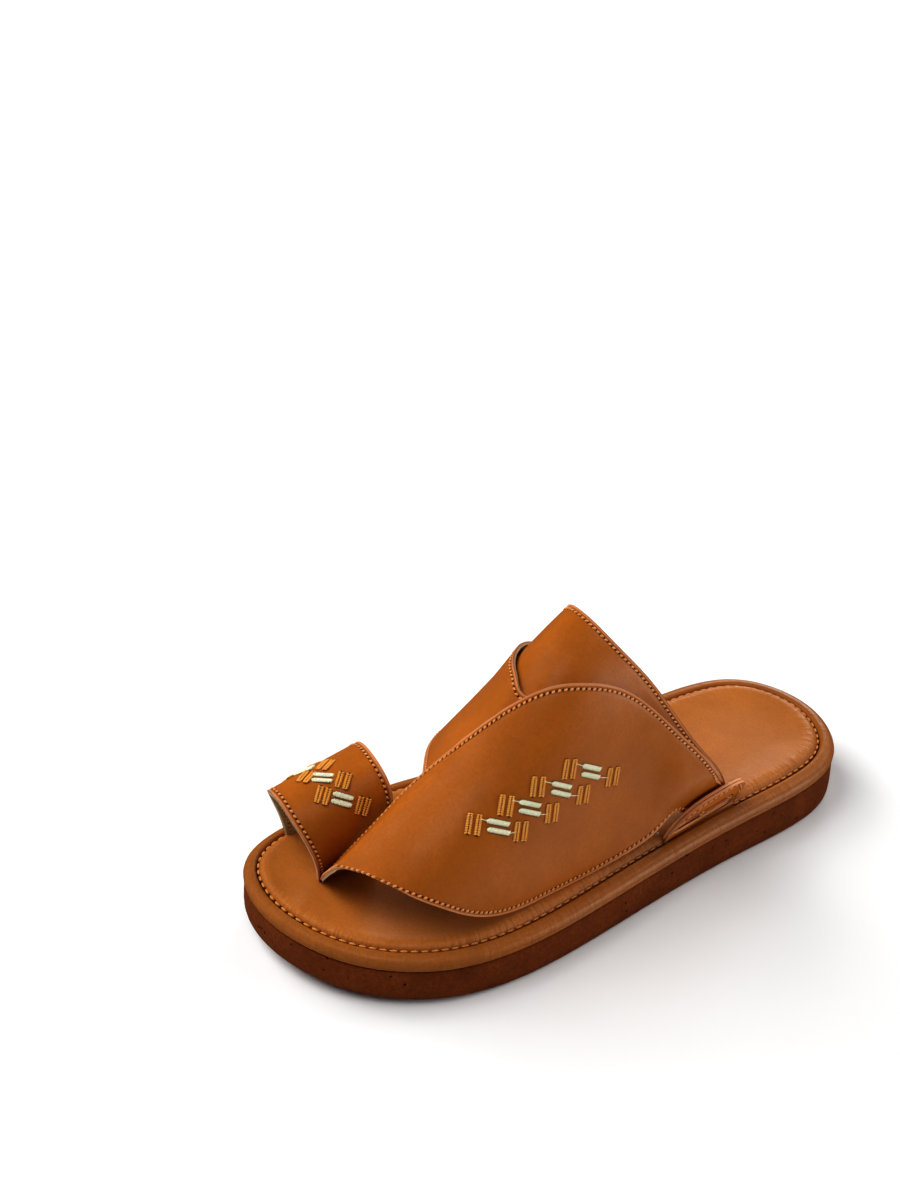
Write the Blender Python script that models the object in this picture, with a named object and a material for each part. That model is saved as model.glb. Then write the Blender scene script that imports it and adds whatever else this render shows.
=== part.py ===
"""Arabic sandal for the left foot: outsole, wrapped platform, footbed, crossed-strap upper and two slotted ears.

The toe points to -Y, the little-toe side to +X and the sole stands on z = 0. The tables are in millimetres.
"""

import math

import bmesh
import bpy
import numpy as np

MM = 0.001
GAP = 0.3

# Sole, from the ground up.
OUTSOLE_THICK = 17.5
HEEL_WEDGE = 2.6
TOE_SPRING = 8.0
SPRING_START = -40.0
HALF_LENGTH = 145.0
PLATFORM_THICK = 6.5
RECESS_DEPTH = 3.3
RIM_INSET = 7.2
SOLE_STEPS = 40

# Half-outlines of the sole seen from above.
#            y, medial x, lateral x
PLAN = (
    (-145.0, -13.5, -13.5),
    (-140.0, -35.1, 9.1),
    (-124.0, -48.3, 32.9),
    (-92.0, -55.2, 51.6),
    (-50.0, -55.4, 56.0),
    (0.0, -47.8, 50.6),
    (60.0, -45.8, 43.7),
    (110.0, -44.1, 39.5),
    (134.0, -31.1, 27.7),
    (145.0, -0.5, -0.5),
)

# Edge profiles: inset from the outline, height over the level the piece is built on.
OUTSOLE_EDGE = ((1.2, 0.0), (-0.2, 0.5), (-0.6, 1.6), (0.2, OUTSOLE_THICK - 0.5), (0.8, OUTSOLE_THICK))
PLATFORM_EDGE = (
    (1.3, 0.0),
    (0.2, 0.5),
    (-0.3, 1.9),
    (0.0, 3.6),
    (1.0, 5.1),
    (2.8, 6.2),
    (4.8, PLATFORM_THICK),
    (6.3, 6.1),
    (7.0, 5.3),
    (RIM_INSET, PLATFORM_THICK - RECESS_DEPTH),
)
FOOTBED_EDGE = (
    (RIM_INSET + 1.0, 0.0),
    (RIM_INSET + GAP, 0.5),
    (RIM_INSET + GAP, 1.5),
    (RIM_INSET + 0.9, 2.5),
    (RIM_INSET + 2.8, 3.3),
    (RIM_INSET + 6.0, 3.8),
    (RIM_INSET + 12.0, 4.1),
)

# The arch that every strap follows, one row for each cross-section of the foot.
#       y, lateral foot x, medial foot x, crest x, crest z, lateral fullness, medial fullness
ARCH = (
    (60.0, 46.0, -38.0, -16.0, 142.0, 2.2, 2.0),
    (20.0, 41.5, -38.0, -12.0, 133.5, 2.2, 1.9),
    (-20.0, 40.0, -43.0, 3.0, 122.5, 2.2, 1.6),
    (-60.0, 44.2, -48.0, 7.2, 87.8, 2.1, 1.3),
    (-95.0, 44.1, -22.5, 9.8, 68.2, 2.05, 1.1),
    (-125.0, 37.9, -9.0, 9.0, 46.2, 1.85, 1.5),
)
ARCH_BASE = 24.0

# Strap outlines. "Round" runs over the foot from the lateral side, 0, to the medial side, 1.
#       round, y of the rear edge, y of the front edge
INSTEP_STRAP = (
    (0.012, 65.0, 35.0),
    (0.03, 61.2, 33.5),
    (0.05, 55.6, 30.0),
    (0.08, 48.2, 24.0),
    (0.16, 33.0, 8.0),
    (0.25, 20.6, -8.0),
    (0.33, 10.7, -18.0),
    (0.44, 3.2, -38.0),
    (0.56, 2.2, -42.0),
    (0.70, 12.0, -26.0),
    (0.82, 28.0, -4.0),
    (0.92, 45.5, 20.0),
    (0.96, 52.6, 29.0),
    (0.979, 56.5, 33.0),
)
MEDIAL_WING = (
    (0.06, 38.0, 8.0),
    (0.15, 22.0, -20.0),
    (0.25, 2.0, -48.0),
    (0.35, -20.0, -62.0),
    (0.45, -34.6, -70.0),
    (0.515, -32.5, -73.0),
    (0.572, -29.0, -73.0),
    (0.63, -22.0, -69.5),
    (0.72, -5.0, -60.0),
    (0.82, 18.0, -36.0),
    (0.92, 41.5, 9.0),
    (0.96, 51.4, 26.0),
    (0.979, 55.9, 32.4),
)
# The leaf's sections, from its end at the ear to its front edge.
#       lower edge y, lower edge round, upper edge y, upper edge round
LEAF = (
    (36.0, 0.012, 64.0, 0.012),
    (35.2, 0.020, 62.3, 0.020),
    (34.5, 0.028, 60.6, 0.028),
    (33.8, 0.037, 58.4, 0.037),
    (32.3, 0.0435, 53.2, 0.056),
    (29.6, 0.046, 46.0, 0.085),
    (25.3, 0.041, 38.5, 0.118),
    (20.3, 0.033, 30.4, 0.153),
    (9.2, 0.019, 9.8, 0.247),
    (-17.6, 0.006, -14.0, 0.336),
    (-40.0, 0.010, -31.5, 0.421),
    (-61.5, 0.027, -51.2, 0.508),
    (-80.0, 0.080, -67.0, 0.580),
    (-96.5, 0.184, -83.0, 0.648),
    (-104.5, 0.262, -104.0, 0.715),
    (-110.6, 0.342, -118.5, 0.775),
)
LEAF_FRONT = ((-110.6, 0.342), (-115.5, 0.42), (-118.4, 0.50), (-120.3, 0.62), (-120.4, 0.70), (-118.5, 0.775))

# Layers, measured outwards from the arch: inner face, outer face.
STRAP_LAYER = (-2.8, -1.0)
WING_LAYER = (-1.7, 0.6)
LEAF_LAYER = (0.0, 2.0)
# Millimetres round the foot for a "round" of 1.
ROUND_SCALE = 120.0
# How much thinner the layers are where they pass through an ear.
EAR_THINNING = 0.28
# How strongly the rows of a strap crowd towards the ears.
STRAP_CROWDING = 0.82
LEAF_CROWDING = 1.7

# Near the ears the straps leave the arch to run down inside the ear and out through its slot.
#       z, outwards from the base line of the lateral ear, the same for the medial ear
TUCK = (
    (28.0, 5.0, 8.7),
    (30.0, 2.45, 6.7),
    (31.0, 1.2, 5.7),
    (32.0, 0.05, 4.7),
    (33.0, -0.8, 3.7),
    (34.0, -1.05, 2.75),
    (35.0, -0.8, 1.9),
    (36.0, -0.4, 1.15),
    (37.0, -0.05, 0.6),
    (40.0, 0.75, 0.0),
    (44.0, 1.9, -0.2),
    (58.0, 5.7, -0.9),
    (80.0, 11.0, -3.5),
)
TUCK_FADE_Y = (12.0, 30.0)
TUCK_FADE_Z = (44.0, 80.0)

# Big-toe loop, from its medial foot over the toe to the toe post: front edge, then rear edge.
#       x, y, z, x, y, z
TOE_LOOP = (
    (-43.0, -115.0, 22.5, -46.5, -84.0, 22.5),
    (-42.8, -118.0, 38.0, -47.0, -83.0, 42.0),
    (-41.0, -123.5, 54.0, -44.5, -82.5, 60.0),
    (-34.5, -127.0, 62.8, -37.0, -82.8, 69.0),
    (-25.5, -127.6, 65.0, -26.5, -83.8, 72.0),
    (-15.6, -126.5, 60.8, -17.3, -84.2, 71.0),
    (-9.6, -124.2, 54.0, -11.4, -83.6, 66.0),
    (-6.6, -121.5, 45.0, -8.6, -84.0, 52.0),
    (-7.4, -118.5, 34.0, -8.6, -86.0, 38.0),
    (-8.6, -116.0, 22.5, -9.2, -88.0, 22.5),
)
LOOP_WALL = 1.9

# Ears: flaps that lean outwards, each with a long slot that the straps come out through.
#        name, x of the base, y of the middle, side, drift of x along y, lean,
#        half-length, height, rear fullness, slot rise, slot margin
EARS = (
    ("ear_lateral", 35.8, 47.2, 1.0, -0.14, 15.0, 21.8, 18.5, 4.5, 5.6, 3.2),
    ("ear_medial", -37.6, 44.0, -1.0, 0.02, 33.0, 23.0, 20.0, 2.6, 7.6, 7.0),
)
EAR_WALL = 2.6
EAR_FRONT_FULLNESS = 2.5
EAR_ROOT = 2.9
EAR_BASE_Z = 25.0
POCKET_DEPTH = 4.5
POCKET_HEIGHT = 8.0
SLOT_HALF_HEIGHT = 3.3
EAR_STEPS = 48

COLOURS = {
    "outsole": ((0.16, 0.045, 0.016), 0.75),
    "platform": ((0.40, 0.15, 0.045), 0.45),
    "footbed": ((0.36, 0.12, 0.035), 0.45),
    "upper": ((0.30, 0.09, 0.022), 0.4),
    "ear_lateral": ((0.33, 0.11, 0.03), 0.45),
    "ear_medial": ((0.33, 0.11, 0.03), 0.45),
}


def clear_scene():
    for obj in list(bpy.data.objects):
        bpy.data.objects.remove(obj, do_unlink=True)


def material(name):
    colour, roughness = COLOURS[name]
    made = bpy.data.materials.new(name)
    made.use_nodes = True
    shader = made.node_tree.nodes["Principled BSDF"]
    shader.inputs["Base Color"].default_value = (*colour, 1.0)
    shader.inputs["Roughness"].default_value = roughness
    return made


def add_object(name, points, faces, helper=False):
    """A mesh object from points in millimetres. A helper is a cutter or operand that isn't rendered."""
    mesh = bpy.data.meshes.new(name)
    mesh.from_pydata([tuple(MM * c for c in p) for p in points], [], faces)
    work = bmesh.new()
    work.from_mesh(mesh)
    bmesh.ops.remove_doubles(work, verts=work.verts, dist=MM * 0.001)
    bmesh.ops.recalc_face_normals(work, faces=work.faces)
    work.to_mesh(mesh)
    work.free()
    obj = bpy.data.objects.new(name, mesh)
    bpy.context.scene.collection.objects.link(obj)
    if helper:
        obj.hide_render = True
        obj.display_type = "WIRE"
    else:
        mesh.materials.append(material(name))
        mesh.shade_smooth()
        mesh.set_sharp_from_angle(angle=math.radians(40))
    return obj


def join_or_cut(obj, other, operation):
    """A live Boolean of the object with a helper."""
    modifier = obj.modifiers.new(f"{operation.lower()} {other.name}", "BOOLEAN")
    modifier.operation = operation
    modifier.solver = "EXACT"
    modifier.object = other


def second_derivatives(x, values):
    """Second derivatives at the knots of the natural cubic spline through the rows of values."""
    count = len(x)
    h = np.diff(x)
    system = np.eye(count)
    right = np.zeros((count, values.shape[1]))
    for i in range(1, count - 1):
        system[i, i - 1 : i + 2] = h[i - 1], 2 * (h[i - 1] + h[i]), h[i]
        right[i] = 6 * ((values[i + 1] - values[i]) / h[i] - (values[i] - values[i - 1]) / h[i - 1])
    return np.linalg.solve(system, right)


def spline(x, values, at):
    """The natural cubic spline through (x, values), read at each number in at."""
    x = np.asarray(x, float)
    values = np.asarray(values, float).reshape(len(x), -1)
    if x[0] > x[-1]:
        x, values = x[::-1], values[::-1]
    bend = second_derivatives(x, values)
    at = np.asarray(at, float)
    i = np.clip(np.searchsorted(x, at) - 1, 0, len(x) - 2)
    h = (x[i + 1] - x[i])[..., None]
    right = (at - x[i])[..., None] / h
    left = 1 - right
    curve = left * values[i] + right * values[i + 1]
    return curve + ((left**3 - left) * bend[i] + (right**3 - right) * bend[i + 1]) * h**2 / 6


def by_length(points, fractions, scale=1.0):
    """The smooth curve through the points, read at fractions of its chord length."""
    points = np.asarray(points, float)
    steps = np.linalg.norm(np.diff(points * scale, axis=0), axis=1)
    length = np.concatenate([[0], np.cumsum(steps)])
    return spline(length / length[-1], points, fractions)


def smooth_step(value, low, high):
    part = np.clip((value - low) / (high - low), 0, 1)
    return part * part * (3 - 2 * part)


def spring(y):
    """How far the sole is lifted off the ground at y."""
    reach = HALF_LENGTH + SPRING_START
    return TOE_SPRING * np.clip((SPRING_START - y) / reach, 0, None) ** 2


def outsole_rise(y):
    return HEEL_WEDGE * y / HALF_LENGTH


def platform_base(y):
    return spring(y) + OUTSOLE_THICK + outsole_rise(y)


def outline(inset):
    """The closed sole outline from the toe tip by the lateral side to the heel tip and back, moved inwards."""
    rows = np.array(PLAN)
    lateral = np.stack([rows[:, 2], rows[:, 0]], axis=1)
    medial = np.stack([rows[:, 1], rows[:, 0]], axis=1)[-2:0:-1]
    knots = np.concatenate([medial[-3:], lateral, medial, lateral[:4]])
    steps = np.sqrt(np.linalg.norm(np.diff(knots, axis=0), axis=1))
    place = np.concatenate([[0], np.cumsum(steps)])
    first, heel, last = place[3], place[len(lateral) + 2], place[len(lateral) + len(medial) + 3]
    eased = 0.5 - 0.5 * np.cos(np.linspace(0, math.pi, SOLE_STEPS + 1))
    eased = 0.55 * eased + 0.45 * np.linspace(0, 1, SOLE_STEPS + 1)
    at = np.concatenate([first + (heel - first) * eased, last - (last - heel) * eased[-2:0:-1]])
    along = spline(place, knots, at + 0.01) - spline(place, knots, at - 0.01)
    along /= np.linalg.norm(along, axis=1, keepdims=True)
    inwards = np.stack([-along[:, 1], along[:, 0]], axis=1)
    return spline(place, knots, at) + inset * inwards


def sole_piece(name, edge, level):
    """A closed plate whose edge follows the sole outline. level(ring point y, height) gives z."""
    rings = []
    for inset, height in edge:
        ring = outline(inset)
        rings.append(np.column_stack([ring, level(ring[:, 1], height)]))
    count = len(rings[0])
    faces = []
    for ring in range(len(rings) - 1):
        for i in range(count):
            j = (i + 1) % count
            faces.append((ring * count + i, ring * count + j, (ring + 1) * count + j, (ring + 1) * count + i))
    for first in (0, (len(rings) - 1) * count):
        for i in range(SOLE_STEPS):
            corners = (i, i + 1, (count - i - 1) % count, (count - i) % count)
            faces.append(tuple(first + c for c in dict.fromkeys(corners)))
    return add_object(name, np.concatenate(rings), faces)


def outsole_level(y, height):
    wedge = outsole_rise(y) * height / OUTSOLE_THICK
    return spring(y) + height + wedge


def platform_level(y, height):
    return platform_base(y) + GAP + height


def footbed_level(y, height):
    return platform_base(y) + PLATFORM_THICK - RECESS_DEPTH + 2 * GAP + height


def near_ear(y, z):
    """1 beside and below the top of an ear, 0 well away from it."""
    return smooth_step(y, *TUCK_FADE_Y) * (1 - smooth_step(z, *TUCK_FADE_Z))


def ear_line(row, y):
    """x of the ear's base line at y."""
    base_x, base_y, _, drift = row[1:5]
    return base_x + drift * (y - base_y)


def arch(y, t):
    """The point of the upper's arch at y, a fraction t of the way over from the lateral side."""
    rows = np.array(ARCH)
    lateral, medial, crest_x, crest_z, fuller_l, fuller_m = np.moveaxis(spline(rows[:, 0], rows[:, 1:], y), -1, 0)
    on_lateral = t < 0.5
    power = 2 / np.where(on_lateral, fuller_l, fuller_m)
    across = np.abs(np.cos(math.pi * t)) ** power
    up = np.abs(np.sin(math.pi * t)) ** power
    x = crest_x + (np.where(on_lateral, lateral, medial) - crest_x) * across
    z = ARCH_BASE + (crest_z - ARCH_BASE) * up
    tuck = np.array(TUCK)
    beside_ear = np.clip(z, tuck[0, 0], tuck[-1, 0])
    outwards = spline(tuck[:, 0], tuck[:, 1:], beside_ear)
    drawn = np.where(on_lateral, ear_line(EARS[0], y) + outwards[..., 0], ear_line(EARS[1], y) - outwards[..., 1])
    x = x + near_ear(y, z) * (drawn - x)
    return np.stack([x, y + 0 * x, z], axis=-1)


def arch_normals(y, t):
    small_t, small_y = 0.002, 0.5
    t = np.clip(t, small_t + 0.001, 1 - small_t - 0.001)
    round_it = arch(y, t + small_t) - arch(y, t - small_t)
    along_it = arch(y + small_y, t) - arch(y - small_y, t)
    normal = np.cross(along_it, round_it)
    return normal / np.linalg.norm(normal, axis=-1, keepdims=True)


def sheet(name, outer, inner, helper=False):
    """A closed sheet between two grids of points."""
    rows, columns = outer.shape[:2]
    points = np.concatenate([outer.reshape(-1, 3), inner.reshape(-1, 3)])
    half = rows * columns
    faces = []
    for i in range(rows - 1):
        for j in range(columns - 1):
            a = i * columns + j
            corner = (a, a + 1, a + columns + 1, a + columns)
            faces.append(corner)
            faces.append(tuple(half + c for c in reversed(corner)))
    rim = [j for j in range(columns)]
    rim += [i * columns + columns - 1 for i in range(1, rows)]
    rim += [(rows - 1) * columns + j for j in range(columns - 2, -1, -1)]
    rim += [i * columns for i in range(rows - 2, 0, -1)]
    for a, b in zip(rim, rim[1:] + rim[:1]):
        faces.append((a, half + a, half + b, b))
    return add_object(name, points, faces, helper)


def on_layer(y, t, distance):
    """Points at a distance outwards from the arch, drawn together where the layers pass through an ear."""
    points = arch(y, t)
    distance = distance * (1 - EAR_THINNING * near_ear(y, points[..., 2]))
    return points + distance[..., None] * arch_normals(y, t)


def strap_grid(table, steps, columns):
    """(y, t) of a strap that runs round the foot, with a row for each step of the way over."""
    rows = np.array(table)
    part = np.linspace(0, 1, steps)
    part = part - STRAP_CROWDING * np.sin(2 * math.pi * part) / (2 * math.pi)
    t = rows[0, 0] + (rows[-1, 0] - rows[0, 0]) * part
    edges = spline(rows[:, 0], rows[:, 1:], t)
    part = np.linspace(0, 1, columns)
    y = edges[:, :1] + (edges[:, 1:] - edges[:, :1]) * part
    return y, np.repeat(t[:, None], columns, axis=1)


def leaf_grid(steps, columns):
    """(y, t) of the leaf: a patch stretched between its long edges, the ear end and the front edge."""
    table = np.array(LEAF)
    u = np.linspace(0, 1, steps)[:, None, None] ** LEAF_CROWDING
    v = np.linspace(0, 1, columns)[None, :, None]
    edges = by_length(table, u[:, 0, 0], (1.0, ROUND_SCALE, 1.0, ROUND_SCALE))[:, None]
    lower, upper = edges[..., :2], edges[..., 2:]
    front = by_length(LEAF_FRONT, v[0, :, 0], (1.0, ROUND_SCALE))[None]
    straight_front = (1 - v) * lower[-1:] + v * upper[-1:]
    patch = (1 - v) * lower + v * upper + u * (front - straight_front)
    return patch[..., 0], patch[..., 1]


def build_upper():
    y, t = leaf_grid(52, 13)
    upper = sheet("upper", on_layer(y, t, LEAF_LAYER[1]), on_layer(y, t, LEAF_LAYER[0]))
    for name, table, layer, steps, columns in (
        ("operand_strap", INSTEP_STRAP, STRAP_LAYER, 54, 6),
        ("operand_wing", MEDIAL_WING, WING_LAYER, 49, 7),
    ):
        y, t = strap_grid(table, steps, columns)
        inner, outer = (on_layer(y, t, distance) for distance in layer)
        join_or_cut(upper, sheet(name, outer, inner, True), "UNION")
    join_or_cut(upper, loop_sheet("operand_loop", 0.0, 0.0, True), "UNION")
    return upper


def loop_sheet(name, grow, sink, helper):
    """The toe loop, its walls grown outwards on each side and its feet sunk, for cutting its slits."""
    table = np.array(TOE_LOOP)
    part = np.linspace(0, 1, 24)
    front = by_length(table[:, :3], part)
    rear = by_length(table[:, 3:], part)
    across = np.linspace(0, 1, 7)[None, :, None]
    across = across + np.sign(across - 0.5) * (np.abs(across - 0.5) == 0.5) * grow / 35
    middle = front[:, None] * (1 - across) + rear[:, None] * across
    middle[0, :, 2] -= sink
    middle[-1, :, 2] -= sink
    normal = np.cross(np.gradient(middle, axis=0), np.gradient(middle, axis=1))
    normal /= np.linalg.norm(normal, axis=-1, keepdims=True)
    half = LOOP_WALL / 2 + grow
    return sheet(name, middle + half * normal, middle - half * normal, helper)


def ear_frame(row):
    """The origin of the flap's plane, its directions along and up, and its normal."""
    base_x, base_y, side, drift, lean = row[1:6]
    lean = math.radians(lean)
    along = np.array([drift, 1.0, 0.0])
    along /= np.linalg.norm(along)
    sideways = np.cross(along, (0, 0, 1)) * side
    up = math.cos(lean) * np.array([0, 0, 1.0]) + math.sin(lean) * sideways
    return np.array([base_x, base_y, EAR_BASE_Z]), along, up, np.cross(along, up)


def ear_outline(half_length, height, rear_fullness):
    """The flap's edge in its own plane: along, up. It starts at the root's rear end."""
    turn = np.linspace(0, math.pi, EAR_STEPS // 2 + 1)
    power = 2 / np.where(turn < math.pi / 2, rear_fullness, EAR_FRONT_FULLNESS)
    along = np.sign(np.cos(turn)) * np.abs(np.cos(turn)) ** power * half_length
    up = height * np.sin(turn) ** power
    root = np.linspace(-half_length + 0.5, half_length - 0.5, EAR_STEPS // 2 - 1)
    return np.concatenate([np.column_stack([along, up]), np.column_stack([root, np.full(len(root), -EAR_ROOT)])])


def slot_outline(half_length, rise, margin):
    """The slot's edge, a stadium, with a point for each point of the flap's edge."""
    straight = half_length - margin - SLOT_HALF_HEIGHT
    turn = np.linspace(0, 2 * math.pi, EAR_STEPS + 1)[:-1]
    along = np.cos(turn) * (straight + SLOT_HALF_HEIGHT)
    past = along - np.clip(along, -straight, straight)
    up = np.sqrt(np.clip(SLOT_HALF_HEIGHT**2 - past**2, 0, None)) * np.sign(np.sin(turn))
    up[0] = up[EAR_STEPS // 2] = 0
    return np.column_stack([along, rise + up])


def build_ear(row):
    half_length, height, rear_fullness, slot_rise, slot_margin = row[6:]
    origin, along, up, normal = ear_frame(row)
    edge = ear_outline(half_length, height, rear_fullness)
    slot = slot_outline(half_length, slot_rise, slot_margin)
    rings = np.array([edge, (edge + slot) / 2, slot])
    middle = origin + rings[..., :1] * along + rings[..., 1:] * up
    points = np.concatenate([middle + normal * EAR_WALL / 2, middle - normal * EAR_WALL / 2])
    count = len(edge)
    faces = []
    for i in range(count):
        j = (i + 1) % count
        for a, b in ((0, 1), (1, 2), (2, 5), (5, 4), (4, 3), (3, 0)):
            faces.append((a * count + i, a * count + j, b * count + j, b * count + i))
    return add_object(row[0], points.reshape(-1, 3), faces)


def ear_pocket(row):
    """A box round the flap's root, for cutting its pocket."""
    half_length = row[6]
    origin, along, up, normal = ear_frame(row)
    corners = []
    for a in (-1, 1):
        for b in (-1, 1):
            side_point = origin + along * a * (half_length + GAP) + normal * b * (EAR_WALL / 2 + GAP)
            corners.append(side_point - up * POCKET_DEPTH)
            corners.append(side_point + up * POCKET_HEIGHT)
    faces = [(0, 1, 3, 2), (4, 6, 7, 5), (0, 4, 5, 1), (2, 3, 7, 6), (0, 2, 6, 4), (1, 5, 7, 3)]
    return add_object("cutter_" + row[0], corners, faces, True)


def main():
    clear_scene()
    sole_piece("outsole", OUTSOLE_EDGE, outsole_level)
    platform = sole_piece("platform", PLATFORM_EDGE, platform_level)
    footbed = sole_piece("footbed", FOOTBED_EDGE, footbed_level)
    build_upper()
    cutters = [loop_sheet("cutter_loop", GAP, 1.0, True)]
    for row in EARS:
        build_ear(row)
        cutters.append(ear_pocket(row))
    for cutter in cutters:
        join_or_cut(platform, cutter, "DIFFERENCE")
        join_or_cut(footbed, cutter, "DIFFERENCE")


main()
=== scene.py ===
"""Looks of a left arabic sandal: sewn straps, a padded footbed, a wrapped platform and a foam outsole.

The toe points to -Y, the little-toe side to +X and the sole stands on z = 0. The tables are in millimetres.
"""

import math

import bmesh
import bpy
import numpy as np
from bpy.props import FloatProperty, FloatVectorProperty, PointerProperty
from bpy.types import Operator, Panel, PropertyGroup
from mathutils import Matrix, Vector


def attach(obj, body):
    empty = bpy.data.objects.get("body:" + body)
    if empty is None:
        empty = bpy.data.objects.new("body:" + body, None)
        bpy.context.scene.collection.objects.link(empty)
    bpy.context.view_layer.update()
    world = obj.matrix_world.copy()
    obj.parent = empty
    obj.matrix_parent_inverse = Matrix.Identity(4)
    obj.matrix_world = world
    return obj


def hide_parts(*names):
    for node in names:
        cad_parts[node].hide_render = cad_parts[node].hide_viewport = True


bl_info = {
    "name": "Arabic sandal looks",
    "version": (1, 0, 0),
    "blender": (4, 5, 0),
    "location": "3D View > Sidebar > Sandal",
    "description": "Leather, foam, thread and lining of a crossed-strap sandal",
    "category": "Object",
}

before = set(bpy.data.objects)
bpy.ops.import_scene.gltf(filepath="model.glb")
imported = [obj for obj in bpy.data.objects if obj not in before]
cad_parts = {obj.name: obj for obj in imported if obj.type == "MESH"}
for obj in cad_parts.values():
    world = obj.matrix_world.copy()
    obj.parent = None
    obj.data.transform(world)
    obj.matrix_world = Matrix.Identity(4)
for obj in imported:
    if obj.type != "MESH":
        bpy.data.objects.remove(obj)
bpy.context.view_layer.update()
BODY = "root"
MM = 0.001

# Sole, from the ground up.
OUTSOLE_THICK = 17.5
HEEL_WEDGE = 2.6
TOE_SPRING = 8
SPRING_START = -40
HALF_LENGTH = 145
PLATFORM_THICK = 6.5
RECESS_DEPTH = 3.3
RIM_INSET = 7.2
GAP = 0.3

# Half-outlines of the sole seen from above.
#            y, medial x, lateral x
PLAN = (
    (-145, -13.5, -13.5), (-140, -35.1, 9.1), (-124, -48.3, 32.9), (-92, -55.2, 51.6),
    (-50, -55.4, 56), (0, -47.8, 50.6), (60, -45.8, 43.7), (110, -44.1, 39.5),
    (134, -31.1, 27.7), (145, -0.5, -0.5),
)
SOLE_STEPS = 180
TIP_CROWDING = 0.55
SPINE_LENGTH = 0.66

# Edge profiles: inset from the outline, height over the level the piece is built on.
OUTSOLE_EDGE = (
    (9, 0), (3, 0), (1.2, 0.1), (0.4, 0.5), (0, 1.3), (-0.3, 3), (-0.4, 6), (-0.2, 11), (0.1, 15.5),
    (0.3, 16.8), (0.9, OUTSOLE_THICK), (5, OUTSOLE_THICK),
)
PLATFORM_EDGE = (
    (5, 0), (1, 0), (0.4, 0.2), (0, 0.6), (-0.15, 1.1), (0.15, 1.6), (-0.1, 2.1), (-0.25, 2.8),
    (0, 3.6), (0.4, 4.4), (1, 5.1), (1.8, 5.7), (2.8, 6.15), (3.8, 6.45), (4.7, 6.7), (5.4, 6.75),
    (6, 6.5), (6.5, 6), (6.9, 5.2), (RIM_INSET, 3.2),
)
FOOTBED_EDGE = (
    (RIM_INSET + 1.2, 0), (RIM_INSET + GAP, 0.4), (RIM_INSET + GAP, 1.4), (RIM_INSET + 0.6, 2),
    (RIM_INSET + 1.1, 2.8), (RIM_INSET + 1.7, 3.6), (RIM_INSET + 2.6, 4.35), (RIM_INSET + 4, 4.9),
    (RIM_INSET + 6, 5.1), (RIM_INSET + 9, 4.85), (RIM_INSET + 13.5, 4.15),
)
# Tops: share of the way from the last row of the edge to the middle line, rise over that row.
OUTSOLE_TOP = ((0.5, 0), (1, 0))
PLATFORM_TOP = ((0.1, 0), (0.5, 0), (1, 0))
FOOTBED_TOP = ((0.2, -0.5), (0.4, -0.75), (0.6, -0.85), (0.8, -0.9), (1, -0.92))
# How much narrower the rim is at the toe.
TOE_NARROWING = 0.2
FOOTBED_SEAM = (RIM_INSET + 0.55, 2.35)

# The arch that every strap follows, one row for each cross-section of the foot.
#       y, lateral foot x, medial foot x, crest x, crest z, lateral fullness, medial fullness
ARCH = (
    (60, 46, -38, -16, 142, 2.2, 2),
    (20, 41.5, -38, -12, 133.5, 2.2, 1.9),
    (-20, 40, -43, 3, 122.5, 2.2, 1.6),
    (-60, 44.2, -48, 7.2, 87.8, 2.1, 1.3),
    (-95, 44.1, -22.5, 9.8, 68.2, 2.05, 1.1),
    (-125, 37.9, -7.5, 9, 46.2, 1.85, 1.1),
)
ARCH_BASE = 24
CREST_ROUNDING = 0.03
# Where round the foot that rounding fades in and out.
CREST_SIDES = ((0.15, 0.4), (0.7, 0.9))

# Strap outlines. "Round" runs over the foot from the lateral side, 0, to the medial side, 1.
#       round, y of the rear edge, y of the front edge
INSTEP_STRAP = (
    (0.012, 65.2, 46), (0.03, 62.8, 41), (0.05, 57.6, 34), (0.08, 49.6, 24.5),
    (0.16, 33, 8), (0.25, 20.6, -8), (0.33, 10.7, -18), (0.44, 3.2, -38), (0.56, 2.2, -42),
    (0.7, 12, -26), (0.82, 28, -4), (0.92, 45.5, 20), (0.96, 52.6, 29), (0.979, 56.5, 33),
)
MEDIAL_WING = (
    (0.06, 38, 8), (0.15, 22, -20), (0.25, 2, -48), (0.35, -20, -62), (0.45, -34.6, -73),
    (0.515, -32.5, -77.5), (0.572, -29, -77.5), (0.63, -22, -72.5), (0.72, -5, -60),
    (0.82, 18, -36), (0.92, 41.5, 9), (0.96, 51.4, 26), (0.979, 55.9, 32.4),
)
# The leaf's sections, from its end at the ear to its front edge.
#       lower edge y, lower edge round, upper edge y, upper edge round
LEAF = (
    (45, 0.012, 64.4, 0.012), (42.5, 0.016, 63.2, 0.02), (39, 0.021, 61.8, 0.028),
    (36, 0.026, 59.8, 0.037), (33, 0.031, 54.4, 0.056), (29.6, 0.036, 46.8, 0.085),
    (25.3, 0.037, 38.8, 0.118), (20.3, 0.033, 30.4, 0.153),
    (9.2, 0.019, 9.8, 0.247), (-17.6, 0.006, -14, 0.336),
    (-40, 0.01, -31.5, 0.421), (-61.5, 0.027, -51.2, 0.508),
    (-80, 0.08, -67, 0.58), (-96.5, 0.184, -83, 0.648),
    (-103.8, 0.262, -104, 0.735), (-109.4, 0.342, -115, 0.915),
)
LEAF_FRONT = (
    (-109.4, 0.342), (-113.6, 0.42), (-117.8, 0.5), (-119.8, 0.6), (-119.5, 0.694), (-118.7, 0.794),
    (-115, 0.915),
)

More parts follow.
